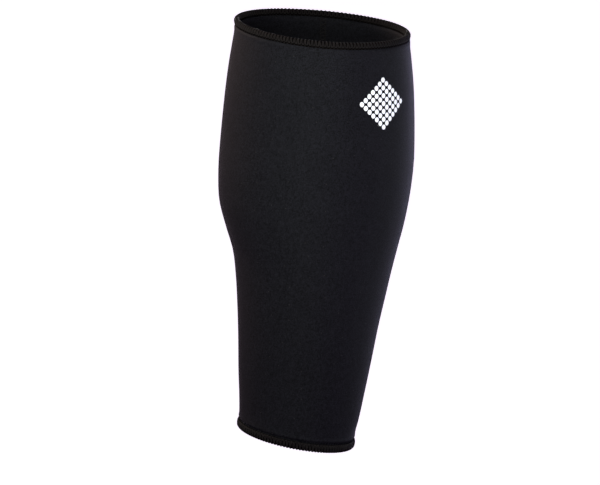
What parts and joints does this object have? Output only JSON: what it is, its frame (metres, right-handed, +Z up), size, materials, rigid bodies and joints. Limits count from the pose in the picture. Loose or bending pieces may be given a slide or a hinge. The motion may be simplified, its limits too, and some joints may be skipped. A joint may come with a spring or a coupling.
{
  "type": "calf compression sleeve",
  "caption": "Seamless-fronted foam cloth tube that grips the lower leg from above the ankle to below the knee, with overlocked thread rims and a sewn back seam",
  "frame": {"origin": "on the leg's axis, level with the widest part of the calf, where the sleeve grips the leg", "axes": "+Z up the leg, -Y to the front of the shin, +X to the left of the wearer"},
  "size_m": [0.1306, 0.1376, 0.2853],
  "materials": {
    "foam_cloth": "black nylon jersey over closed-cell foam rubber, matt with a soft sheen at grazing angles",
    "hem_thread": "black overlock thread, matt"
  },
  "bodies": {
    "root": {"sleeve_body": "foam_cloth", "top_hem": "hem_thread", "bottom_hem": "hem_thread", "back_seam": "hem_thread"}
  },
  "joints": []
}
